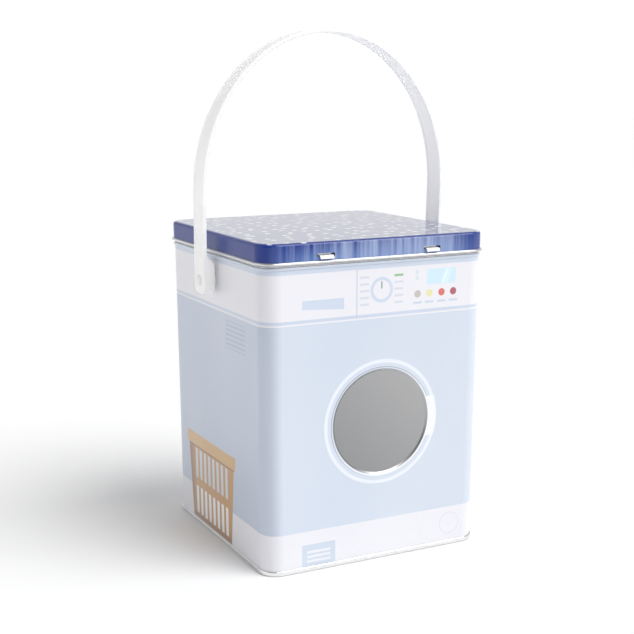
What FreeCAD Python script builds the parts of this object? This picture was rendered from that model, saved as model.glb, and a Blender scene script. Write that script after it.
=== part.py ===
"""Storage tin for washing powder, made of printed tinplate in the shape of a washing machine.

The tin stands on its base with +Z up and its front, with the porthole, facing -Y.
The origin is the centre of the base. All sizes are in millimetres.

Pieces: a body shell with a pressed porthole and two hinge lugs, a base plate seamed to its
foot, a lid that turns on the lugs, and a plastic strap handle that swings on two studs,
each held by a washer inside the tin.
"""
import FreeCAD, Part
import math
import os
import Sketcher
from FreeCAD import Placement, Rotation, Vector

DOC = FreeCAD.newDocument("PowderTin")
SHEET = DOC.addObject("Spreadsheet::Sheet", "Dims")

DIMENSIONS = {
    # tin body
    "body_width": 165.0,
    "body_depth": 165.0,
    "corner_radius": 12.0,
    "tin": 0.4,
    "wall_foot": 0.65,
    "shoulder_height": 206.2,
    "bead_height": 204.7,
    "bead_half": 1.2,
    "bead_proud": 0.8,
    "neck_inset": 2.2,
    "rim_radius": 1.1,
    "rim_height": 218.5,
    "seam_width": 6.0,
    "seam_proud": 0.25,
    "seam_gap": 1.0,
    # pressed porthole
    "port_radius": 36.5,
    "port_x": 2.8,
    "port_height": 97.2,
    "port_depth": 1.0,
    "port_slope": 1.3,
    # base plate
    "base_height": 3.2,
    "base_proud": 1.0,
    "base_web": 0.6,
    "base_groove_in": 0.45,
    "base_groove_out": 0.05,
    "base_chuck": 0.9,
    "base_round": 0.7,
    # lid
    "lid_proud": 0.8,
    "lid_top": 220.5,
    "lid_round": 2.2,
    "hem_radius": 0.9,
    "hem_height": 207.8,
    "hem_centre": 1.3,
    # hinge
    "lug_x": 39.3,
    "lug_width": 9.6,
    "lug_sheet": 0.5,
    "lug_bend": 1.8,
    "lug_end_angle": 0.0,
    "lug_root_height": 207.0,
    "slot_width": 12.6,
    "slot_low": 211.1,
    "slot_high": 213.2,
    "hinge_out": 0.6,
    "hinge_height": 209.8,
    # strap handle
    "pivot_height": 188.0,
    "arch_half_width": 91.6,
    "arch_rise": 104.5,
    "arch_spring": 246.0,
    "strap_width": 17.5,
    "strap_thick": 2.7,
    "strap_web": 1.9,
    "strap_rail": 2.4,
    "strap_soft": 0.8,
    "handle_lean": 1.7,
    "pad_gap": 2.6,
    "pad_below": 8.4,
    "pad_above": 11.8,
    "pad_taper": 5.6,
    "pad_corner": 5.5,
    "pad_edge": 0.8,
    # studs
    "journal_radius": 3.0,
    "journal_clearance": 0.06,
    "stud_head_radius": 3.9,
    "stud_head": 1.2,
    "head_bevel": 0.7,
    "head_crown": 1.2,
    "stud_play": 0.2,
    "collar_radius": 4.5,
    "tail_radius": 2.5,
    "tail_clearance": 0.05,
    "tail_head_radius": 3.5,
    "tail_head": 0.9,
    "tail_bevel": 0.4,
    "seat_gap": 0.05,
    "washer_radius": 7.0,
    "washer_thick": 1.2,
    "washer_edge": 0.5,
    "washer_dish": 1.5,
}

SMALLEST_CUT = 0.01   # volume that a pocket or groove has to remove
SAME = 1e-4           # lengths closer than this are equal


class Size:
    """A length that knows its value and the spreadsheet formula that gives it."""

    def __init__(self, value, text):
        self.value = value
        self.text = text

    @staticmethod
    def of(other):
        return other if isinstance(other, Size) else Size(float(other), repr(float(other)))

    def __add__(self, other):
        other = Size.of(other)
        return Size(self.value + other.value, f"({self.text} + {other.text})")

    def __sub__(self, other):
        other = Size.of(other)
        return Size(self.value - other.value, f"({self.text} - {other.text})")

    def __mul__(self, other):
        other = Size.of(other)
        return Size(self.value * other.value, f"({self.text} * {other.text})")

    def __neg__(self):
        return self * -1

    __radd__ = __add__
    __rmul__ = __mul__


ZERO = Size(0.0, "0.0")


def fill_sheet():
    for row, (alias, number) in enumerate(DIMENSIONS.items(), start=1):
        SHEET.set(f"A{row}", alias)
        SHEET.set(f"B{row}", str(number))
        SHEET.setAlias(f"B{row}", alias)
    DOC.recompute()


def dim(alias):
    return Size(DIMENSIONS[alias], f"Dims.{alias}")


# ---------------------------------------------------------------- sketches and features

def new_body(name):
    body = DOC.addObject("PartDesign::Body", name)
    body.Label = name
    return body


def plane(body, role):
    return next(item for item in body.Origin.OriginFeatures if item.Role == role)


def new_sketch(body, name, role, shift=ZERO, rise=ZERO):
    """Sketch on an origin plane, moved along its normal and up its own vertical axis."""
    sketch = body.newObject("Sketcher::SketchObject", name)
    sketch.AttachmentSupport = [(plane(body, role), "")]
    sketch.MapMode = "FlatFace"
    sketch.AttachmentOffset = Placement(Vector(0, rise.value, shift.value), Rotation())
    sketch.setExpression("AttachmentOffset.Base.z", shift.text)
    sketch.setExpression("AttachmentOffset.Base.y", rise.text)
    return sketch


def bind(sketch, constraint, size):
    index = sketch.addConstraint(constraint)
    sketch.setExpression(f"Constraints[{index}]", size.text)


def arc_centre(start, end, radius, turn):
    chord = end - start
    middle = (start + end) * 0.5
    height = math.sqrt(max(radius ** 2 - (chord.Length / 2) ** 2, 0.0))
    normal = Vector(-chord.y, chord.x, 0).normalize()
    return middle + normal * height * turn


def add_outline(sketch, corners):
    """Closed outline. Each corner is (x, y) or (x, y, radius, turn).

    A corner with a radius starts an arc to the next corner, turn 1 for anticlockwise.
    """
    points = [Vector(c[0].value, c[1].value, 0) for c in corners]
    segments = []
    for i, corner in enumerate(corners):
        start, end = points[i], points[(i + 1) % len(points)]
        if len(corner) == 2:
            index = sketch.addGeometry(Part.LineSegment(start, end), False)
            segments.append((index, 1, 2))
            continue
        radius, turn = corner[2], corner[3]
        centre = arc_centre(start, end, radius.value, turn)
        first, last = (start, end) if turn > 0 else (end, start)
        angles = [math.atan2(p.y - centre.y, p.x - centre.x) for p in (first, last)]
        circle = Part.Circle(centre, Vector(0, 0, 1), radius.value)
        index = sketch.addGeometry(Part.ArcOfCircle(circle, *angles), False)
        segments.append((index, 1, 2) if turn > 0 else (index, 2, 1))
    for i, corner in enumerate(corners):
        index, head, tail = segments[i]
        following, following_head, _ = segments[(i + 1) % len(segments)]
        sketch.addConstraint(Sketcher.Constraint("Coincident", index, tail, following, following_head))
        bind(sketch, Sketcher.Constraint("DistanceX", index, head, corner[0].value), corner[0])
        bind(sketch, Sketcher.Constraint("DistanceY", index, head, corner[1].value), corner[1])
        if len(corner) > 2:
            bind(sketch, Sketcher.Constraint("Radius", index, corner[2].value), corner[2])


def add_circle(sketch, x, y, radius):
    circle = Part.Circle(Vector(x.value, y.value, 0), Vector(0, 0, 1), radius.value)
    index = sketch.addGeometry(circle, False)
    bind(sketch, Sketcher.Constraint("DistanceX", index, 3, x.value), x)
    bind(sketch, Sketcher.Constraint("DistanceY", index, 3, y.value), y)
    bind(sketch, Sketcher.Constraint("Radius", index, radius.value), radius)


def tin_outline(proud):
    """Corners of the tin's rounded rectangle, moved outwards by proud, starting at +X."""
    half_x = dim("body_width") * 0.5 + proud
    half_y = dim("body_depth") * 0.5 + proud
    radius = dim("corner_radius") + proud
    flat_x, flat_y = half_x - radius, half_y - radius
    return [
        (half_x, ZERO),
        (half_x, flat_y, radius, 1),
        (flat_x, half_y),
        (-flat_x, half_y, radius, 1),
        (-half_x, flat_y),
        (-half_x, -flat_y, radius, 1),
        (-flat_x, -half_y),
        (flat_x, -half_y, radius, 1),
        (half_x, -flat_y),
    ]


def pad(body, name, sketch, length, **options):
    feature = body.newObject("PartDesign::Pad", name)
    feature.Profile = sketch
    feature.Length = length.value
    feature.setExpression("Length", length.text)
    for key, setting in options.items():
        setattr(feature, key, setting)
    return feature


def cut_is_real(body, name, before):
    """Recompute, and stop if the feature just made leaves the body's volume as it was."""
    DOC.recompute()
    if not body.Shape.Volume < before - SMALLEST_CUT:
        raise RuntimeError(f"{name} removes nothing")


def pocket(body, name, sketch, length, **options):
    DOC.recompute()
    before = body.Shape.Volume
    feature = body.newObject("PartDesign::Pocket", name)
    feature.Profile = sketch
    feature.Length = length.value
    feature.setExpression("Length", length.text)
    for key, setting in options.items():
        setattr(feature, key, setting)
    cut_is_real(body, name, before)
    return feature


def pipe(body, name, profile, spine):
    feature = body.newObject("PartDesign::AdditivePipe", name)
    feature.Profile = profile
    feature.Spine = spine
    return feature


def revolve(body, kind, name, sketch, axis):
    feature = body.newObject(f"PartDesign::{kind}", name)
    feature.Profile = sketch
    feature.ReferenceAxis = (sketch, [axis])
    feature.Angle = 360.0
    return feature


def round_edges(body, name, base, wanted, radius):
    """Fillet the edges of base for which wanted(edge) is true."""
    DOC.recompute()
    names = [f"Edge{i}" for i, edge in enumerate(base.Shape.Edges, start=1) if wanted(edge)]
    feature = body.newObject("PartDesign::Fillet", name)
    feature.Base = (base, names)
    feature.Radius = radius.value
    feature.setExpression("Radius", radius.text)
    return feature


def level(edge, height):
    """True for an edge that lies flat at this height."""
    box = edge.BoundBox
    return abs(box.ZMin - height) < SAME and abs(box.ZMax - height) < SAME


def reach_y(edge):
    box = edge.BoundBox
    return max(abs(box.YMin), abs(box.YMax))


# ---------------------------------------------------------------- the pieces

def ring_pad(body, name, outer, inner, foot, height):
    """Upright wall between two offsets of the tin's outline."""
    sketch = new_sketch(body, f"{name}Sketch", "XY_Plane", shift=foot)
    add_outline(sketch, tin_outline(outer))
    add_outline(sketch, tin_outline(inner))
    return pad(body, name, sketch, height)


def bead_pipe(body, name, spine_proud, spine_height, draw_profile):
    """Bead that runs all round the tin, drawn on the XZ plane where the outline starts."""
    spine = new_sketch(body, f"{name}Spine", "XY_Plane", shift=spine_height)
    add_outline(spine, tin_outline(spine_proud))
    profile = new_sketch(body, f"{name}Profile", "XZ_Plane")
    draw_profile(profile)
    return pipe(body, name, profile, spine)


def press_porthole(body):
    """Round dish pressed into the front wall, with a sloping step round its edge."""
    front = -(dim("body_depth") * 0.5)
    inner_face = front + dim("tin")
    radius, slope, depth = dim("port_radius"), dim("port_slope"), dim("port_depth")
    spare = dim("tin") * 0.5
    dish = new_sketch(body, "DishProfile", "YZ_Plane", dim("port_x"), dim("port_height"))
    add_outline(dish, [
        (inner_face - spare, ZERO),
        (inner_face + depth, ZERO),
        (inner_face + depth, radius - slope + spare),
        (inner_face, radius + spare),
        (inner_face - spare, radius + spare),
    ])
    revolve(body, "Revolution", "Dish", dish, "H_Axis")
    recess = new_sketch(body, "RecessProfile", "YZ_Plane", dim("port_x"), dim("port_height"))
    add_outline(recess, [
        (front - spare, ZERO),
        (front + depth, ZERO),
        (front + depth, radius - slope),
        (front, radius),
        (front - spare, radius),
    ])
    DOC.recompute()
    before = body.Shape.Volume
    revolve(body, "Groove", "Recess", recess, "H_Axis")
    cut_is_real(body, "Recess", before)


def hinge_lugs(body):
    """Two tongues of the body's sheet, curled over the lid's skirt round the hinge axis."""
    axis_y = -(dim("body_depth") * 0.5) - dim("hinge_out")
    axis_z = dim("hinge_height")
    inner, sheet = dim("lug_bend"), dim("lug_sheet")
    outer = inner + sheet
    neck = -(dim("body_depth") * 0.5) + dim("neck_inset") + dim("tin") * 0.5
    root = dim("lug_root_height")
    end = math.radians(DIMENSIONS["lug_end_angle"])
    cosine, sine = Size.of(math.cos(end)), Size.of(math.sin(end))
    corners = [
        (axis_y - outer * cosine, axis_z + outer * sine, outer, -1),
        (axis_y, axis_z + outer, outer, -1),
        (axis_y + outer, axis_z),
        (neck, root + sheet),
        (neck, root - sheet),
        (axis_y + inner, axis_z, inner, 1),
        (axis_y, axis_z + inner, inner, 1),
        (axis_y - inner * cosine, axis_z + inner * sine),
    ]
    for side, name in ((-1, "LeftLug"), (1, "RightLug")):
        sketch = new_sketch(body, f"{name}Sketch", "YZ_Plane", shift=dim("lug_x") * side)
        add_outline(sketch, corners)
        pad(body, name, sketch, dim("lug_width"), Midplane=True)


def make_body_shell():
    body = new_body("body_shell")
    tin, inset = dim("tin"), dim("neck_inset")
    foot, shoulder = dim("wall_foot"), dim("shoulder_height")
    rim = dim("rim_height")
    ring_pad(body, "Wall", ZERO, -tin, foot, shoulder - foot)
    ring_pad(body, "Shoulder", ZERO, -inset - tin, shoulder - tin, tin)
    ring_pad(body, "Neck", -inset, -inset - tin, shoulder - tin, rim - shoulder + tin)
    half, proud = dim("bead_half"), dim("bead_proud")

    def stop_bead(profile):
        face = dim("body_width") * 0.5
        height = dim("bead_height")
        bulge = Size.of((DIMENSIONS["bead_half"] ** 2 + DIMENSIONS["bead_proud"] ** 2)
                        / (2 * DIMENSIONS["bead_proud"]))
        add_outline(profile, [
            (face - tin * 0.5, height - half),
            (face, height - half, bulge, 1),
            (face + proud, height, bulge, 1),
            (face, height + half),
            (face - tin * 0.5, height + half),
        ])

    bead_pipe(body, "StopBead", ZERO, dim("bead_height"), stop_bead)

    curl_offset = -inset + dim("rim_radius") - tin * 0.5

    def rim_curl(profile):
        centre = dim("body_width") * 0.5 + curl_offset
        add_circle(profile, centre, rim, dim("rim_radius"))

    bead_pipe(body, "RimCurl", curl_offset, rim, rim_curl)
    press_porthole(body)
    hinge_lugs(body)
    back = dim("body_depth") * 0.5
    seam_half = dim("seam_width") * 0.5
    seam_low = dim("base_height") + dim("seam_gap")
    seam_high = dim("bead_height") - half
    seam = new_sketch(body, "SeamSketch", "XZ_Plane", shift=-back + tin * 0.5)
    add_outline(seam, [(-seam_half, seam_low), (seam_half, seam_low),
                       (seam_half, seam_high), (-seam_half, seam_high)])
    pad(body, "SideSeam", seam, dim("seam_proud") + tin * 0.5, Reversed=True)
    holes = new_sketch(body, "StudHoles", "YZ_Plane")
    add_circle(holes, ZERO, dim("pivot_height"), dim("tail_radius") + dim("tail_clearance"))
    pocket(body, "StudHole", holes, dim("body_width") * 2, Midplane=True)
    return body


def make_base_plate():
    """Sunk panel whose edge is folded up round the foot of the wall."""
    body = new_body("base_plate")
    height, proud = dim("base_height"), dim("base_proud")
    block_sketch = new_sketch(body, "BlockSketch", "XY_Plane")
    add_outline(block_sketch, tin_outline(proud))
    block = pad(body, "Block", block_sketch, height)

    def outer_edge(edge):
        return level(edge, 0.0) or level(edge, DIMENSIONS["base_height"])

    round_edges(body, "FoldRound", block, outer_edge, dim("base_round"))
    recess = new_sketch(body, "RecessSketch", "XY_Plane")
    add_outline(recess, tin_outline(-dim("base_chuck")))
    pocket(body, "Recess", recess, height - dim("tin"), Reversed=True)
    groove = new_sketch(body, "GrooveSketch", "XY_Plane", shift=height)
    add_outline(groove, tin_outline(dim("base_groove_out")))
    add_outline(groove, tin_outline(-dim("base_groove_in")))
    pocket(body, "FoldGroove", groove, height - dim("base_web"))
    return body


def make_lid():
    """Shallow pan with a rounded top edge, a curled hem and two slots for the hinge lugs."""
    body = new_body("lid")
    proud, tin = dim("lid_proud"), dim("tin")
    hem, top = dim("hem_height"), dim("lid_top")
    pan_sketch = new_sketch(body, "PanSketch", "XY_Plane", shift=hem)
    add_outline(pan_sketch, tin_outline(proud))
    pad(body, "Pan", pan_sketch, top - hem)
    inside = new_sketch(body, "InsideSketch", "XY_Plane", shift=hem)
    add_outline(inside, tin_outline(proud - tin))
    hollow = pocket(body, "Inside", inside, top - hem - tin, Reversed=True)
    ceiling = DIMENSIONS["lid_top"] - DIMENSIONS["tin"]
    inner_round = round_edges(body, "InnerRound", hollow, lambda edge: level(edge, ceiling),
                              dim("lid_round") - tin)
    round_edges(body, "TopRound", inner_round,
                lambda edge: level(edge, DIMENSIONS["lid_top"]), dim("lid_round"))

    def hem_curl(profile):
        centre = dim("body_width") * 0.5 + dim("hem_centre")
        add_circle(profile, centre, hem, dim("hem_radius"))

    bead_pipe(body, "Hem", dim("hem_centre"), hem, hem_curl)
    front = -(dim("body_depth") * 0.5) - proud
    half = dim("slot_width") * 0.5
    low, high = dim("slot_low"), dim("slot_high")
    for side, name in ((-1, "LeftSlot"), (1, "RightSlot")):
        middle = dim("lug_x") * side
        slot = new_sketch(body, f"{name}Sketch", "XZ_Plane", shift=-front + tin)
        add_outline(slot, [(middle - half, low), (middle + half, low),
                           (middle + half, high), (middle - half, high)])
        pocket(body, name, slot, tin * 3)
    return body


def strap_section(sketch, centre):
    """Cross-section of the strap: a thin web between two thicker rounded rails."""
    half_w, half_t = dim("strap_width") * 0.5, dim("strap_thick") * 0.5
    half_web, rail = dim("strap_web") * 0.5, dim("strap_rail")
    soft = dim("strap_soft")
    step = half_t - half_web
    quarter = [
        (half_web, half_w - rail - step),
        (half_t, half_w - rail),
        (half_t, half_w - soft, soft, 1),
        (half_t - soft, half_w),
    ]
    mirrored = [(-half_t + soft, half_w, soft, 1), (-half_t, half_w - soft),
                (-half_t, half_w - rail), (-half_web, half_w - rail - step)]
    upper = quarter + mirrored
    lower = [(-half_web, -half_w + rail + step), (-half_t, -half_w + rail),
             (-half_t, -half_w + soft, soft, 1), (-half_t + soft, -half_w),
             (half_t - soft, -half_w, soft, 1), (half_t, -half_w + soft),
             (half_t, -half_w + rail), (half_web, -half_w + rail + step)]
    outline = [(corner[0] + centre,) + tuple(corner[1:]) for corner in upper + lower]
    add_outline(sketch, outline)


def add_arch(sketch):
    """Arch centre line: a leg, half an ellipse and a leg, in the handle's own plane."""
    half, spring, rise = dim("arch_half_width"), dim("arch_spring"), dim("arch_rise")
    foot = dim("pivot_height")
    middle = Vector(0, spring.value, 0)
    crown = Vector(0, spring.value + rise.value, 0)
    ends = [Vector(half.value * side, spring.value, 0) for side in (-1, 1)]
    feet = [Vector(half.value * side, foot.value, 0) for side in (-1, 1)]
    left = sketch.addGeometry(Part.LineSegment(feet[0], ends[0]), False)
    ellipse = Part.Ellipse(crown, ends[1], middle)
    arch = sketch.addGeometry(Part.ArcOfEllipse(ellipse, -math.pi / 2, math.pi / 2), False)
    right = sketch.addGeometry(Part.LineSegment(ends[1], feet[1]), False)
    sketch.exposeInternalGeometry(arch)
    long_axis = right + 1
    for item, point, x, y in ((left, 1, -half, foot), (left, 2, -half, spring),
                              (right, 1, half, spring), (right, 2, half, foot),
                              (long_axis, 1, ZERO, spring + rise)):
        bind(sketch, Sketcher.Constraint("DistanceX", item, point, x.value), x)
        bind(sketch, Sketcher.Constraint("DistanceY", item, point, y.value), y)
    bind(sketch, Sketcher.Constraint("DistanceY", arch, 3, spring.value), spring)
    sketch.addConstraint(Sketcher.Constraint("Coincident", arch, 1, right, 1))
    sketch.addConstraint(Sketcher.Constraint("Coincident", arch, 2, left, 2))


def make_handle():
    body = new_body("carry_handle")
    half_t = dim("strap_thick") * 0.5
    outer = dim("arch_half_width") + half_t
    inner = dim("body_width") * 0.5 + dim("pad_gap")
    strap_inner = dim("arch_half_width") - half_t
    pivot = dim("pivot_height")
    low, high = pivot - dim("pad_below"), pivot + dim("pad_above")
    tip = high + dim("pad_taper")
    for side, name in ((-1, "LeftPad"), (1, "RightPad")):
        sketch = new_sketch(body, f"{name}Sketch", "XZ_Plane")
        corners = [(inner * side, low), (outer * side, low), (outer * side, tip),
                   (strap_inner * side, tip), (inner * side, high)]
        add_outline(sketch, corners)
        pad(body, name, sketch, dim("strap_width"), Midplane=True)
    half_w = DIMENSIONS["strap_width"] / 2
    bottom = DIMENSIONS["pivot_height"] - DIMENSIONS["pad_below"]

    def lower_corner(edge):
        across = edge.BoundBox.XLength > SAME and edge.BoundBox.YLength < SAME
        return across and level(edge, bottom) and abs(reach_y(edge) - half_w) < SAME

    corners_round = round_edges(body, "PadCorners", body.Tip, lower_corner, dim("pad_corner"))
    outer_x = DIMENSIONS["arch_half_width"] + DIMENSIONS["strap_thick"] / 2

    def outer_face_edge(edge):
        box = edge.BoundBox
        top = level(edge, tip.value)
        return box.XLength < SAME and abs(abs(box.XMin) - outer_x) < SAME and not top

    round_edges(body, "PadEdges", corners_round, outer_face_edge, dim("pad_edge"))
    spine = new_sketch(body, "ArchSketch", "XZ_Plane")
    add_arch(spine)
    section = new_sketch(body, "StrapSection", "XY_Plane", shift=pivot)
    strap_section(section, -dim("arch_half_width"))
    pipe(body, "Strap", section, spine)
    bore = new_sketch(body, "BoreSketch", "YZ_Plane")
    add_circle(bore, ZERO, pivot, dim("journal_radius") + dim("journal_clearance"))
    pocket(body, "Bore", bore, dim("body_width") * 2, Midplane=True)
    centre = Vector(0, 0, DIMENSIONS["pivot_height"])
    lean = Rotation(Vector(1, 0, 0), DIMENSIONS["handle_lean"])
    body.Placement = Placement(Vector(0, 0, 0), lean, centre)
    return body


def make_stud(name, side):
    """Push-in stud: outer head, journal, collar, neck through the wall and clinched tail."""
    body = new_body(name)
    wall = dim("body_width") * 0.5
    face = dim("arch_half_width") + dim("strap_thick") * 0.5
    collar_end = wall + dim("pad_gap") - dim("stud_play")
    head_foot = face + dim("stud_play")
    head_end = head_foot + dim("stud_head")
    tail_start = wall - dim("tin") - dim("washer_thick") - dim("seat_gap") * 2
    tail_end = tail_start - dim("tail_head")
    collar_start = wall + dim("seat_gap")
    profile = new_sketch(body, "StudProfile", "XZ_Plane", rise=dim("pivot_height"))
    steps = [
        (tail_end, ZERO),
        (tail_end, dim("tail_radius")),
        (tail_end + dim("tail_bevel"), dim("tail_head_radius")),
        (tail_start, dim("tail_head_radius")),
        (tail_start, dim("tail_radius")),
        (collar_start, dim("tail_radius")),
        (collar_start, dim("collar_radius")),
        (collar_end, dim("collar_radius")),
        (collar_end, dim("journal_radius")),
        (head_foot, dim("journal_radius")),
        (head_foot, dim("stud_head_radius")),
        (head_end - dim("head_bevel"), dim("stud_head_radius")),
        (head_end, dim("stud_head_radius") - dim("head_crown")),
        (head_end, ZERO),
    ]
    add_outline(profile, [(x * side, radius) for x, radius in steps])
    revolve(body, "Revolution", "Stud", profile, "H_Axis")
    return body


def make_washer(name, side):
    """Washer inside the tin, with a dished face towards the powder."""
    body = new_body(name)
    wall = dim("body_width") * 0.5 - dim("tin") - dim("seat_gap")
    inner = wall - dim("washer_thick")
    hole = dim("tail_radius") + dim("tail_clearance")
    profile = new_sketch(body, "WasherProfile", "XZ_Plane", rise=dim("pivot_height"))
    steps = [
        (wall, hole),
        (wall, dim("washer_radius")),
        (wall - dim("washer_edge"), dim("washer_radius")),
        (inner, dim("washer_radius") - dim("washer_dish")),
        (inner, hole),
    ]
    add_outline(profile, [(x * side, radius) for x, radius in steps])
    revolve(body, "Revolution", "Washer", profile, "H_Axis")
    return body


def make_all():
    bodies = [make_body_shell(), make_base_plate(), make_lid(), make_handle()]
    for side, word in ((-1, "left"), (1, "right")):
        bodies.append(make_stud(f"handle_stud_{word}", side))
        bodies.append(make_washer(f"stud_washer_{word}", side))
    return bodies


def check_document():
    for item in DOC.Objects:
        if "Invalid" in item.State or "Error" in item.State:
            raise RuntimeError(f"{item.Label} did not build: {item.State}")


def export(bodies):
    os.makedirs("parts", exist_ok=True)
    for body in bodies:
        shape = body.Shape
        if shape.isNull() or not shape.isValid() or not shape.Solids:
            raise RuntimeError(f"{body.Label} has no valid solid")
        shape.exportStep(f"parts/{body.Label}.step")
        box = shape.optimalBoundingBox()
        print(f"{body.Label}: {len(shape.Solids)} solid, {shape.Volume:.1f} mm3, "
              f"x {box.XMin:.2f} to {box.XMax:.2f}, y {box.YMin:.2f} to {box.YMax:.2f}, "
              f"z {box.ZMin:.2f} to {box.ZMax:.2f}")


fill_sheet()
ALL_BODIES = make_all()
DOC.recompute()
check_document()
export(ALL_BODIES)
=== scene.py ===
"""Looks of the washing-machine storage tin: printed tinplate, bare tin and a milky plastic strap.

Lengths inside the materials are in millimetres in the tin's own frame, everything else in metres.
The front of the tin faces -Y, and the viewer's left is -X.
"""

import math

import bmesh
import bpy
from mathutils import Matrix, Vector

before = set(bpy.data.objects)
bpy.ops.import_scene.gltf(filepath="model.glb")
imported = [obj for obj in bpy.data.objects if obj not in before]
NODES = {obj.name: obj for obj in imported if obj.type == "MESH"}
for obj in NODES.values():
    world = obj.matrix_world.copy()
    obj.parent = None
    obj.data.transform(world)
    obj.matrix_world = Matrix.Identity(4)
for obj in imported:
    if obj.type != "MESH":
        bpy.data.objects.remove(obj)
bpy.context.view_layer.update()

MM = 1000.0                      # millimetres in a metre
PIXELS = 634                     # side of the square picture


# ------------------------------------------------------------------ writing materials as sums

class Field:
    """A socket that can be added, multiplied and compared like a number."""

    def __init__(self, shader, socket):
        self.shader, self.socket = shader, socket

    def _with(self, operation, other, swap=False):
        first, second = (other, self) if swap else (self, other)
        return self.shader.math(operation, first, second)

    def __add__(self, other):
        return self._with("ADD", other)

    def __sub__(self, other):
        return self._with("SUBTRACT", other)

    def __mul__(self, other):
        return self._with("MULTIPLY", other)

    def __truediv__(self, other):
        return self._with("DIVIDE", other)

    def __rsub__(self, other):
        return self._with("SUBTRACT", other, swap=True)

    def __neg__(self):
        return self * -1.0

    __radd__ = __add__
    __rmul__ = __mul__

    def abs(self):
        return self.shader.math("ABSOLUTE", self)

    def most(self, other):
        """The larger of two values."""
        return self._with("MAXIMUM", other)

    def repeat(self, period):
        """Distance from the middle of each repeat, between -period/2 and period/2."""
        return self.shader.math("WRAP", self, period / 2, -period / 2)

    def clear_of(self, edge, soft):
        """1 where the value is above edge, 0 below it, over a soft width."""
        return self.shader.clamp((self - edge) / soft + 0.5)

    def under(self, edge, soft):
        """1 where the value is below edge, 0 above it, over a soft width."""
        return self.shader.clamp((edge - self) / soft + 0.5)

    def off(self, middle, half):
        """How far the value lies outside middle - half to middle + half; negative inside."""
        return (self - middle).abs() - half


class Shader:
    """One node material with a Principled shader, and short names for the nodes that drive it."""

    def __init__(self, name, **settings):
        self.material = bpy.data.materials.new(name)
        self.material.use_nodes = True
        self.tree = self.material.node_tree
        self.principled = self.tree.nodes["Principled BSDF"]
        for socket, value in settings.items():
            self.principled.inputs[socket.replace("_", " ")].default_value = value
        coordinates = self.tree.nodes.new("ShaderNodeTexCoord")
        self.place = coordinates.outputs["Object"]
        self.x, self.y, self.z = (axis * MM for axis in self.split(self.place))
        self.nx, self.ny, self.nz = self.split(coordinates.outputs["Normal"])

    def split(self, vector):
        """The three components of a vector socket."""
        node = self.tree.nodes.new("ShaderNodeSeparateXYZ")
        self.tree.links.new(vector, node.inputs[0])
        return [Field(self, output) for output in node.outputs]

    def feed(self, socket, value):
        """Link a field or a socket to an input, or set the input to a number."""
        if isinstance(value, Field):
            self.tree.links.new(value.socket, socket)
        elif not isinstance(value, (int, float)):
            self.tree.links.new(value, socket)
        else:
            socket.default_value = value

    def math(self, operation, *values):
        node = self.tree.nodes.new("ShaderNodeMath")
        node.operation = operation
        for socket, value in zip(node.inputs, values):
            self.feed(socket, value)
        return Field(self, node.outputs[0])

    def clamp(self, value):
        """The value kept between 0 and 1."""
        node = self.tree.nodes.new("ShaderNodeClamp")
        self.feed(node.inputs["Value"], value)
        return Field(self, node.outputs[0])

    def mix(self, first, second, share):
        """Colour between two colours; each is a socket or an (r, g, b) triple."""
        node = self.tree.nodes.new("ShaderNodeMix")
        node.data_type = "RGBA"
        self.feed(node.inputs[0], share)
        for socket, colour in ((node.inputs[6], first), (node.inputs[7], second)):
            if isinstance(colour, tuple):
                socket.default_value = (*colour, 1.0)
            else:
                self.tree.links.new(colour, socket)
        return node.outputs[2]

    def scaled_place(self, scale):
        """The place on the piece, multiplied by a scale along each axis."""
        mapping = self.tree.nodes.new("ShaderNodeMapping")
        mapping.inputs["Scale"].default_value = scale
        self.tree.links.new(self.place, mapping.inputs["Vector"])
        return mapping.outputs[0]

    def noise(self, scale, detail=2.0, stretch=(1, 1, 1), rough=0.5):
        """Noise from 0 to 1 at this many cells to the millimetre, squeezed along the axes."""
        place = self.scaled_place([scale * MM * s for s in stretch])
        node = self.tree.nodes.new("ShaderNodeTexNoise")
        node.inputs["Scale"].default_value = 1.0
        node.inputs["Detail"].default_value = detail
        node.inputs["Roughness"].default_value = rough
        self.tree.links.new(place, node.inputs["Vector"])
        return Field(self, node.outputs["Fac"])

    def dots(self, scale, randomness):
        """Distance to the nearest of scattered points, this many to the metre."""
        place = self.scaled_place((scale, scale, scale))
        node = self.tree.nodes.new("ShaderNodeTexVoronoi")
        node.voronoi_dimensions = "2D"
        node.inputs["Scale"].default_value = 1.0
        node.inputs["Randomness"].default_value = randomness
        self.tree.links.new(place, node.inputs["Vector"])
        return Field(self, node.outputs["Distance"])

    def bump(self, height, distance, strength):
        """Surface height in millimetres times distance."""
        node = self.tree.nodes.new("ShaderNodeBump")
        node.inputs["Distance"].default_value = distance / MM
        node.inputs["Strength"].default_value = strength
        self.feed(node.inputs["Height"], height)
        self.tree.links.new(node.outputs[0], self.principled.inputs["Normal"])

    def drive(self, socket, value):
        self.feed(self.principled.inputs[socket], value)


def srgb(red, green, blue):
    """Linear colour of a colour given as 0 to 255."""
    def linear(value):
        value /= 255.0
        return value / 12.92 if value <= 0.04045 else ((value + 0.055) / 1.055) ** 2.4
    return (linear(red), linear(green), linear(blue))


def box_mask(across, up, low, high, bottom, top, soft):
    """1 inside a rectangle of a face."""
    wide = across.off((low + high) / 2, (high - low) / 2)
    tall = up.off((bottom + top) / 2, (top - bottom) / 2)
    return wide.most(tall).under(0.0, soft)


def round_box_mask(across, up, low, high, bottom, top, corner, soft):
    """1 inside a rectangle with rounded corners."""
    wide = across.off((low + high) / 2, (high - low) / 2 - corner).most(0.0)
    tall = up.off((bottom + top) / 2, (top - bottom) / 2 - corner).most(0.0)
    return across.shader.math("SQRT", wide * wide + tall * tall).under(corner, soft)


def distance_to(across, up, x, z):
    """Distance from a point of a face."""
    return across.shader.math("SQRT", (across - x) * (across - x) + (up - z) * (up - z))


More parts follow.
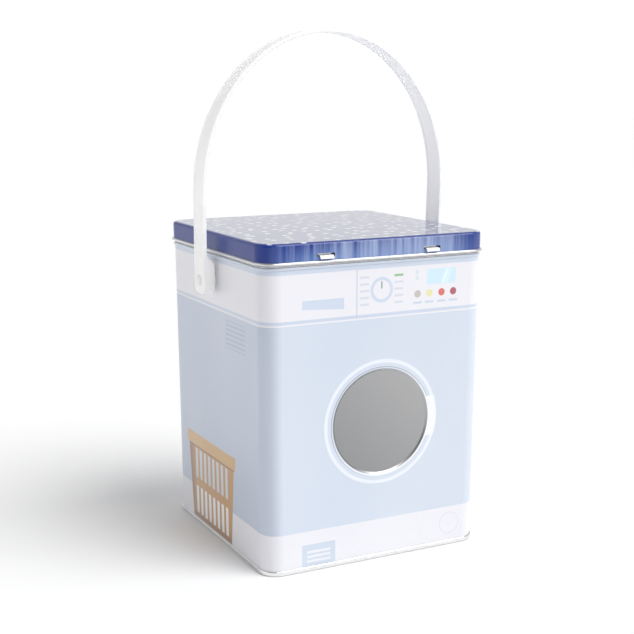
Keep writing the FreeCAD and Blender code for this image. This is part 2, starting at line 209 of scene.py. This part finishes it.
def ring_mask(distance, radius, half, soft):
    """1 on a ring, half its width to each side of the radius."""
    return (distance - radius).abs().under(half, soft)


# ------------------------------------------------------------------ inks

BLACK, CLEAR_WHITE = (0.0, 0.0, 0.0), (1.0, 1.0, 1.0)
WHITE = srgb(229, 229, 235)
PANEL = srgb(204, 213, 227)
# the panel ink with painted shade, for the left wall and the left corner
PANEL_SHADED_LEFT = srgb(190, 200, 217)
TOP_BAND = srgb(200, 210, 226)
BAND_LINE = srgb(198, 208, 226)
PALE = srgb(200, 211, 229)
GREY_LINE = srgb(198, 206, 220)
MARK = srgb(208, 214, 226)
CAPTION = srgb(196, 208, 226)
SYMBOL = srgb(206, 220, 226)
POINTER = srgb(132, 158, 138)
GREEN_MARK = srgb(140, 186, 138)
SKY = srgb(203, 228, 244)
GLINT = srgb(219, 238, 248)
DOOR_RING = srgb(206, 214, 228)
DOOR_RIM = srgb(228, 234, 243)
# painted shade along the pressed door edge, for this ink and the next
DOOR_SHADOW = srgb(140, 150, 168)
DOOR_EDGE_SHADE = srgb(96, 104, 118)
LATCH = srgb(236, 238, 241)
VENT = srgb(200, 211, 225)
FILTER = srgb(214, 217, 228)
LOUVRE = srgb(168, 183, 204)
TAN = srgb(208, 170, 120)
TAN_HULL = srgb(196, 152, 102)
TAN_DARK = srgb(142, 108, 88)
SLOT_UPPER = srgb(206, 212, 220)
SLOT_LOWER = srgb(238, 238, 241)
# white of the lid's tongues; also the painted highlight along the pressed door edge
TONGUE_WHITE_AND_HIGHLIGHT = srgb(246, 247, 249)
BLUE = srgb(26, 52, 134)
# painted reflection on the lid's front skirt, for this ink and the next
BLUE_REFLECTED = srgb(96, 126, 186)
BLUE_REFLECTION_STREAK = srgb(176, 192, 224)
FLECK = srgb(240, 242, 248)

# middle of each button and its colour
BUTTONS = ((29.3, srgb(190, 184, 180)), (38.4, srgb(226, 222, 166)),
           (48.0, srgb(212, 98, 92)), (57.2, srgb(168, 74, 92)))

# the outer faces of the four walls, the height where the neck starts, and the pressed porthole
WALL = 82.5
NECK = 205.7
DOOR_X, DOOR_Z, DOOR_RADIUS = 2.8, 97.2, 36.5

DRAWER_MIDDLE, DRAWER_HALF, DRAWER_TOP, DRAWER_FOOT = -40.9, 15.0, 183.6, 178.1
DIAL_X, DIAL_Z = 1.9, 186.7
MARKS_Z, MARKS_PITCH = 186.65, 4.44
BUTTON_Z, BUTTON_RADIUS = 181.9, 2.5
SYMBOL_X, SYMBOL_HEIGHTS = 28.8, (196.4, 192.6)
VENT_X, VENT_Z, VENT_PITCH = -44.4, 10.0, 3.25
FILTER_X, FILTER_Z, FILTER_RADIUS = 59.2, 15.9, 7.8

LOUVRE_MIDDLE, LOUVRE_Z, LOUVRE_PITCH, LOUVRE_SLOPE = 35.6, 154.5, 3.18, 0.012
BASKET_MIDDLE, BASKET_FOOT = -13.6, 3.6
HULL_TOP, HULL_HALF, HULL_FLARE = 60.0, 42.0, 0.105
RIM_TOP, RIM_HALF, RIM_FLARE = 69.0, 45.6, 0.12
SLOT_PITCH, SLOT_HALF, SLOT_ROW_HALF = 8.0, 2.15, 31.9
UPPER_SLOTS, LOWER_SLOTS = (46.3, 11.2), (18.0, 10.5)       # middle height and half height


def control_strip(x, z):
    """Colours and masks of the printed control strip, from left to right."""
    # the line beside the drawer, and the drawer's label, which is deeper at its right end
    yield GREY_LINE, box_mask(x, z, -17.0, -16.1, 170.6, 201.0, 0.5)
    along = (x - (DRAWER_MIDDLE - DRAWER_HALF)) / (2 * DRAWER_HALF)
    label = x.off(DRAWER_MIDDLE, DRAWER_HALF).most(z - DRAWER_TOP)
    yield PALE, label.most(DRAWER_FOOT - along * 1.9 - z).under(0.0, 0.4)
    # programme dial with its two columns of marks
    dial = distance_to(x, z, DIAL_X, DIAL_Z)
    yield PALE, dial.under(8.4, 0.3)
    yield WHITE, dial.under(6.3, 0.3)
    yield POINTER, box_mask(x, z, 1.4, 2.4, 187.5, 192.3, 0.3)
    rows = ((z - MARKS_Z).repeat(MARKS_PITCH).abs() - 0.7).most(z.off(MARKS_Z, 11.1))
    for low, high in ((-14.4, -7.6), (11.5, 18.1)):
        yield MARK, x.off((low + high) / 2, (high - low) / 2).most(rows).under(0.0, 0.5)
    yield GREEN_MARK, box_mask(x, z, 11.4, 18.0, 194.8, 196.3, 0.4)
    # two small symbols and the display
    for height in SYMBOL_HEIGHTS:
        yield SYMBOL, ring_mask(distance_to(x, z, SYMBOL_X, height), 0.9, 0.5, 0.3)
    yield SKY, round_box_mask(x, z, 36.3, 59.0, 187.6, 197.8, 0.4, 0.3)
    slant = x - (z - 193.0) * 0.35
    glint = ring_mask(slant, 50.8, 1.5, 0.4).most(ring_mask(slant, 53.6, 0.5, 0.3))
    yield GLINT, glint * box_mask(x, z, 36.6, 58.7, 187.9, 197.5, 0.3)
    # four buttons and the captions under them
    for middle, colour in BUTTONS:
        yield colour, distance_to(x, z, middle, BUTTON_Z).under(BUTTON_RADIUS, 0.3)
        yield CAPTION, box_mask(x, z, middle - 3.3, middle + 3.4, 175.3, 176.7, 0.5)


def door_ring(shader, x, z):
    """Colours and masks of the ring round the door, from the outside in."""
    door = distance_to(x, z, DOOR_X, DOOR_Z)
    yield DOOR_RING, door.under(41.5, 0.3)
    yield DOOR_RIM, ring_mask(door, 41.9, 1.2, 0.9)
    # painted shade and painted highlight on the pressed edge: bright below and to the right, dark
    # above and left
    fall = ((x - DOOR_X) * 0.6 - (z - DOOR_Z) * 0.8) / DOOR_RADIUS
    # painted shade on the upper left, painted highlight on the lower right
    yield DOOR_SHADOW, ring_mask(door, 37.9, 0.25, 0.5) * shader.clamp(0.65 - fall)
    yield TONGUE_WHITE_AND_HIGHLIGHT, ring_mask(door, 37.1, 0.45, 0.4) * shader.clamp(0.55 + fall * 0.6)
    yield DOOR_EDGE_SHADE, ring_mask(door, DOOR_RADIUS, 0.3, 0.4) * shader.clamp(0.1 - fall)
    latch = box_mask(x, z, 36.0, 47.0, 83.3, 111.2, 0.3)
    yield LATCH, latch * ring_mask(door, 40.4, 2.9, 0.3)


def plinth(x, z):
    """Colours and masks of the vent and the filter cap at the foot."""
    yield VENT, round_box_mask(x, z, -56.9, -31.9, 3.0, 18.7, 0.5, 0.4)
    slots = ((z - VENT_Z).repeat(VENT_PITCH).abs() - 0.85).most(z.off(VENT_Z, 4.9))
    yield WHITE, x.off(VENT_X, 8.8).most(slots).under(0.0, 0.4)
    cap = distance_to(x, z, FILTER_X, FILTER_Z)
    yield FILTER, ring_mask(cap, FILTER_RADIUS, 0.3, 0.4)


def paint_front(shader, ink, face):
    """Everything printed on the front wall."""
    x, z = shader.x, shader.z
    for part in (control_strip(x, z), door_ring(shader, x, z), plinth(x, z)):
        for colour, mask in part:
            ink = shader.mix(ink, colour, mask * face)
    return ink


def paint_side(shader, ink, face):
    """Louvre and laundry basket on the left wall, with +across towards the front."""
    across, z = -shader.y, shader.z
    slope = z - (across - LOUVRE_MIDDLE) * LOUVRE_SLOPE
    lines = ((slope - LOUVRE_Z).repeat(LOUVRE_PITCH).abs() - 0.7).most(slope.off(LOUVRE_Z, 9.5))
    louvre = across.off(LOUVRE_MIDDLE, 16.2).most(lines).under(0.0, 0.6)
    ink = shader.mix(ink, LOUVRE, louvre * face)
    # basket: wider at the rim, shaded to the left and below, with two rows of upright slots
    hull_side = across.off(BASKET_MIDDLE, HULL_HALF) + (HULL_TOP - z) * HULL_FLARE
    hull = hull_side.most(z - HULL_TOP).most(BASKET_FOOT - z).under(0.0, 0.5)
    ink = shader.mix(ink, TAN_HULL, hull * face)
    shade = (across - BASKET_MIDDLE).under(-33.0, 9.0).most(z.under(9.0, 9.0)) * 0.8
    ink = shader.mix(ink, TAN_DARK, hull * shade * face)
    rim_side = across.off(BASKET_MIDDLE, RIM_HALF) + (RIM_TOP - z) * RIM_FLARE
    rim = rim_side.most(z.off(64.2, 4.8)).under(0.0, 0.5)
    ink = shader.mix(ink, TAN, rim * face)
    under_rim = box_mask(across, z, -56.0, 29.0, 58.6, 59.6, 0.6)
    ink = shader.mix(ink, TAN_DARK, hull * under_rim * face)
    spread = across - (BASKET_MIDDLE + 0.4) + (z - 46.0) * 0.004
    column = (spread - SLOT_PITCH / 2).repeat(SLOT_PITCH).abs() - SLOT_HALF
    row = column.most(spread.abs() - SLOT_ROW_HALF)
    for colour, (middle, half) in ((SLOT_UPPER, UPPER_SLOTS), (SLOT_LOWER, LOWER_SLOTS)):
        slots = row.most(z.off(middle, half)).under(0.0, 0.6)
        ink = shader.mix(ink, colour, slots * face)
    return ink


def paint_walls(shader, grain):
    """All the print on the walls, and the mask of the front wall; the left wall and the left
    corner are painted a little darker, as painted shade."""
    z = shader.z
    # painted shade: the panel is darker on the left wall and the left corner
    left = (-shader.nx).clear_of(0.35, 0.5)
    ink = shader.mix(PANEL, PANEL_SHADED_LEFT, left)
    ink = shader.mix(ink, WHITE, (z - 98.15).abs().clear_of(69.95, 0.3))
    ink = shader.mix(ink, BAND_LINE, (z - 170.3).abs().under(1.05, 0.4))
    ink = shader.mix(ink, TOP_BAND, z.clear_of(200.8, 0.5))
    recessed = (shader.x - DOOR_X).abs().under(40.0, 0.2)
    front = (-shader.y).clear_of(WALL - 0.8, 0.2)
    front = front.most((-shader.y).clear_of(WALL - 3.0, 0.2) * recessed)
    ink = paint_front(shader, ink, front)
    ink = paint_side(shader, ink, (-shader.x).clear_of(WALL - 0.3, 0.1))
    cloud = shader.noise(0.011, 2.0, (1.0, 1.0, 0.6))
    ink = shader.mix(ink, CLEAR_WHITE, shader.clamp(cloud * 1.6 - 0.6) * 0.2)
    return shader.mix(ink, BLACK, (grain - 0.5) * 0.035), front


def make_body_ink():
    """Printed walls with a satin varnish; bare tin on the porthole, the neck and the inside."""
    shader = Shader("printed_body", Coat_Weight=0.35, Coat_Roughness=0.06, IOR=1.5)
    x, y, z = shader.x, shader.y, shader.z
    grain = shader.noise(0.35, 3.0)
    ink, front = paint_walls(shader, grain)
    lug = (-y).clear_of(WALL - 0.6, 0.3) * z.clear_of(206.6, 0.2) * z.under(214.0, 0.5)
    ink = shader.mix(ink, TONGUE_WHITE_AND_HIGHLIGHT, lug)
    # bare tin: the pressed door glass, the neck and all of the inside
    glass = distance_to(x, z, DOOR_X, DOOR_Z).under(DOOR_RADIUS + 0.05, 0.15) * front
    neck = z.clear_of(NECK, 0.2) * (1.0 - lug)
    outward = (x * shader.nx + y * shader.ny).clear_of(2.0, 2.0)
    inside = (1.0 - outward) * (1.0 - lug)
    bare = shader.clamp(glass + neck + inside)
    brushed = shader.noise(0.08, 4.0, (1.0, 1.0, 14.0), 0.6)
    tin = shader.mix((0.70, 0.70, 0.70), (0.84, 0.84, 0.845), brushed)
    # painted reflection: the door glass is bare tin painted darker than the rest, lighter towards
    # the upper right
    painted_reflection = shader.clamp((x - DOOR_X + z - DOOR_Z) / 110.0 + 0.5)
    painted_glass_reflection = shader.mix((0.31, 0.312, 0.32), (0.44, 0.44, 0.445), painted_reflection)
    shader.drive("Base Color", shader.mix(ink, shader.mix(tin, painted_glass_reflection, glass), bare))
    shader.drive("Metallic", bare - inside * (1.0 - neck) * 0.5)
    satin = (0.20 + brushed * 0.14) * (1.0 - glass) + (0.36 + grain * 0.03) * glass
    shader.drive("Roughness", bare * satin + (1.0 - bare) * (0.20 + grain * 0.10))
    waves = shader.noise(0.012, 1.0, (1.0, 1.0, 0.35))
    shader.bump(waves + grain * 0.004, 1.2, 0.6)
    return shader.material


def make_lid_ink():
    """Glossy dark blue with scattered white flecks; pale streaks of painted reflection on the
    front skirt.
    """
    shader = Shader("printed_lid", Coat_Roughness=0.12, IOR=1.5, Coat_IOR=1.8,
                    Specular_IOR_Level=0.3)
    x, y, z = shader.x, shader.y, shader.z
    top = shader.nz.clear_of(0.8, 0.2)
    flecks = shader.dots(86.0, 0.85).under(0.17, 0.09) * top
    # the front skirt: pale streaks of painted reflection, and painted reflection that makes it
    # lighter towards its foot
    skirt = (1.0 - shader.nz.abs().clear_of(0.5, 0.3)) * (-y).clear_of(76.0, 2.0)
    streaks = shader.noise(0.22, 3.0, (1.0, 0.02, 0.03), 0.7)
    pale = (x - 14.0).abs().under(34.0, 60.0)
    painted_reflection = shader.clamp((streaks - 0.40) * 2.2 + pale * 0.5) * x.abs().under(68.0, 22.0)
    low = shader.clamp((218.0 - z) / 9.0) * x.abs().under(66.0, 26.0)
    # painted reflection: lighter blue towards the foot of the skirt, and pale streaks
    ink = shader.mix(BLUE, BLUE_REFLECTED, low * skirt * 0.85)
    ink = shader.mix(ink, BLUE_REFLECTION_STREAK, painted_reflection * skirt * 0.8)
    ink = shader.mix(ink, FLECK, flecks)
    # bare tin: the hem, the inside of the skirt and the underside of the top
    hem = z.under(208.72, 0.15)
    inside = (x * shader.nx + y * shader.ny).under(-2.0, 2.0) * (1.0 - top)
    bare = shader.clamp(hem + inside + shader.nz.under(-0.5, 0.3))
    brushed = shader.noise(0.1, 3.0, (1.0, 1.0, 10.0), 0.6)
    shader.drive("Base Color", shader.mix(ink, (0.68, 0.68, 0.69), bare))
    shader.drive("Metallic", bare)
    shader.drive("Coat Weight", top * 0.9 + 0.08)
    shader.drive("Roughness", bare * 0.1 + 0.16 + brushed * 0.1)
    shader.bump(shader.noise(0.02, 1.0) + streaks * 0.05, 0.8, 0.5)
    return shader.material


def make_bare_tin():
    """Plain tinplate, lightly brushed and spangled."""
    shader = Shader("bare_tin", Metallic=1.0)
    brushed = shader.noise(0.12, 4.0, (1.0, 1.0, 10.0), 0.6)
    spangle = shader.noise(0.5, 2.0)
    shader.drive("Base Color", shader.mix((0.74, 0.74, 0.75), (0.88, 0.88, 0.88), brushed))
    shader.drive("Roughness", 0.14 + spangle * 0.12)
    shader.bump(brushed, 0.008, 0.5)
    return shader.material


def make_milky_plastic(name, tint):
    """Translucent polypropylene, satin with flow marks; a little emission stands for the light
    that it passes on inside."""
    shader = Shader(name, IOR=1.49, Transmission_Weight=0.2, Subsurface_Weight=0.6,
                    Subsurface_Scale=0.004, Emission_Strength=0.09)
    shader.principled.inputs["Subsurface Radius"].default_value = (1.0, 1.0, 1.0)
    flow = shader.noise(0.03, 3.0, (1.0, 1.0, 0.4))
    fine = shader.noise(1.2, 2.0)
    darker = tuple(part * 0.94 for part in tint)
    shader.drive("Base Color", shader.mix(tint, darker, flow))
    shader.drive("Roughness", 0.34 + flow * 0.16)
    shader.bump(fine, 0.02, 0.5)
    return shader.material


def dress(node, material):
    mesh = NODES[node].data
    mesh.materials.clear()
    mesh.materials.append(material)


STRAP = make_milky_plastic("handle_plastic", (0.985, 0.985, 0.98))
STUD = make_milky_plastic("stud_plastic", (0.90, 0.905, 0.90))
WASHER = make_milky_plastic("washer_plastic", (0.86, 0.865, 0.86))
for node, material in (("body_shell", make_body_ink()), ("lid", make_lid_ink()),
                       ("base_plate", make_bare_tin()), ("carry_handle", STRAP),
                       ("handle_stud_left", STUD), ("handle_stud_right", STUD),
                       ("stud_washer_left", WASHER), ("stud_washer_right", WASHER)):
    dress(node, material)


# ------------------------------------------------------------------ floor, light and camera

FLOOR_RADIUS = 14.0
FLOOR_DROP = 0.0002              # keeps the floor just clear of the tin's base
PAPER = (0.93, 0.93, 0.93, 1.0)

CARD_DIRECTION = (-0.85, -0.53, 0.0)     # from the tin to the grey card
CARD_SHARPNESS = 3.0
FADE_HEIGHT = 0.6                # height of a unit direction where the overhead light is reached
BACKDROP = 1.1                   # brightness of the background that the camera sees

TIN_WIDTH = 0.165
CAMERA_AZIMUTH, CAMERA_ELEVATION, CAMERA_ROLL = -27.086, 15.6965, -0.039
CAMERA_DISTANCE = 5.3758 * TIN_WIDTH
AIM_HEIGHT = 0.45 * TIN_WIDTH
FOCAL = 1207.03                  # in pixels, as are the two below
CENTRE_X, CENTRE_Y = 321.65, 425.75


def make_floor():
    mesh = bpy.data.meshes.new("floor")
    shape = bmesh.new()
    bmesh.ops.create_circle(shape, cap_ends=True, segments=96, radius=FLOOR_RADIUS)
    shape.to_mesh(mesh)
    shape.free()
    floor = bpy.data.objects.new("floor", mesh)
    bpy.context.scene.collection.objects.link(floor)
    floor.location.z = -FLOOR_DROP
    material = bpy.data.materials.new("floor_paper")
    material.use_nodes = True
    surface = material.node_tree.nodes["Principled BSDF"]
    surface.inputs["Base Color"].default_value = PAPER
    surface.inputs["Roughness"].default_value = 0.9
    mesh.materials.append(material)


def make_sun(name, towards, spread, strength):
    """A far, wide lamp; towards is the direction from the tin to the lamp."""
    light = bpy.data.lights.new(name, "SUN")
    light.angle = math.radians(spread)
    light.energy = strength
    lamp = bpy.data.objects.new(name, light)
    lamp.rotation_euler = Vector(towards).to_track_quat("Z", "Y").to_euler()
    bpy.context.scene.collection.objects.link(lamp)


def make_world(overhead, horizon, card):
    """White studio, brighter near the horizon, with a grey card to the left of the camera; the
    background itself is plain white where the camera sees it."""
    world = bpy.data.worlds.new("studio")
    world.use_nodes = True
    tree = world.node_tree
    background = tree.nodes["Background"]
    background.inputs["Color"].default_value = (1.0, 1.0, 1.0, 1.0)
    direction = tree.nodes.new("ShaderNodeTexCoord")
    height = tree.nodes.new("ShaderNodeSeparateXYZ")
    tree.links.new(direction.outputs["Generated"], height.inputs[0])
    fade = tree.nodes.new("ShaderNodeMapRange")
    fade.interpolation_type = "SMOOTHSTEP"
    fade.inputs["From Max"].default_value = FADE_HEIGHT
    fade.inputs["To Min"].default_value = horizon
    fade.inputs["To Max"].default_value = overhead
    tree.links.new(height.outputs["Z"], fade.inputs["Value"])
    towards = tree.nodes.new("ShaderNodeVectorMath")
    towards.operation = "DOT_PRODUCT"
    towards.inputs[1].default_value = CARD_DIRECTION
    tree.links.new(direction.outputs["Generated"], towards.inputs[0])

    def math_node(operation, first, second):
        node = tree.nodes.new("ShaderNodeMath")
        node.operation = operation
        for socket, value in zip(node.inputs, (first, second)):
            if isinstance(value, float):
                socket.default_value = value
            else:
                tree.links.new(value, socket)
        return node.outputs[0]

    facing = math_node("MAXIMUM", towards.outputs["Value"], 0.0)
    shade = math_node("MULTIPLY", math_node("POWER", facing, CARD_SHARPNESS), card)
    lit = math_node("SUBTRACT", fade.outputs[0], shade)
    seen = tree.nodes.new("ShaderNodeLightPath")
    backdrop = math_node("MULTIPLY", seen.outputs["Is Camera Ray"], BACKDROP)
    tree.links.new(math_node("MAXIMUM", lit, backdrop), background.inputs["Strength"])
    bpy.context.scene.world = world


def make_camera():
    """Camera in front of the left corner, looking slightly down."""
    azimuth, elevation, roll = (math.radians(angle) for angle in (
        CAMERA_AZIMUTH, CAMERA_ELEVATION, CAMERA_ROLL))
    target = Vector((0.0, 0.0, AIM_HEIGHT))
    back = Vector((math.sin(azimuth) * math.cos(elevation),
                   -math.cos(azimuth) * math.cos(elevation), math.sin(elevation)))
    camera = bpy.data.cameras.new("camera")
    camera.sensor_width = 36.0
    camera.lens = FOCAL * camera.sensor_width / PIXELS
    camera.shift_x = (PIXELS / 2 - CENTRE_X) / PIXELS
    camera.shift_y = (CENTRE_Y - PIXELS / 2) / PIXELS
    holder = bpy.data.objects.new("camera", camera)
    turn = (-back).to_track_quat("-Z", "Y").to_matrix()
    holder.matrix_world = (Matrix.Translation(target + back * CAMERA_DISTANCE)
                           @ (turn @ Matrix.Rotation(roll, 3, "Z")).to_4x4())
    bpy.context.scene.collection.objects.link(holder)
    bpy.context.scene.camera = holder


make_floor()
make_world(overhead=0.50, horizon=0.90, card=0.60)
make_sun("key", (0.50, -0.62, 0.98), 44.0, 2.3)
make_sun("fill", (-0.90, 0.25, 0.35), 60.0, 0.35)
make_camera()
bpy.context.scene.view_settings.view_transform = "Standard"
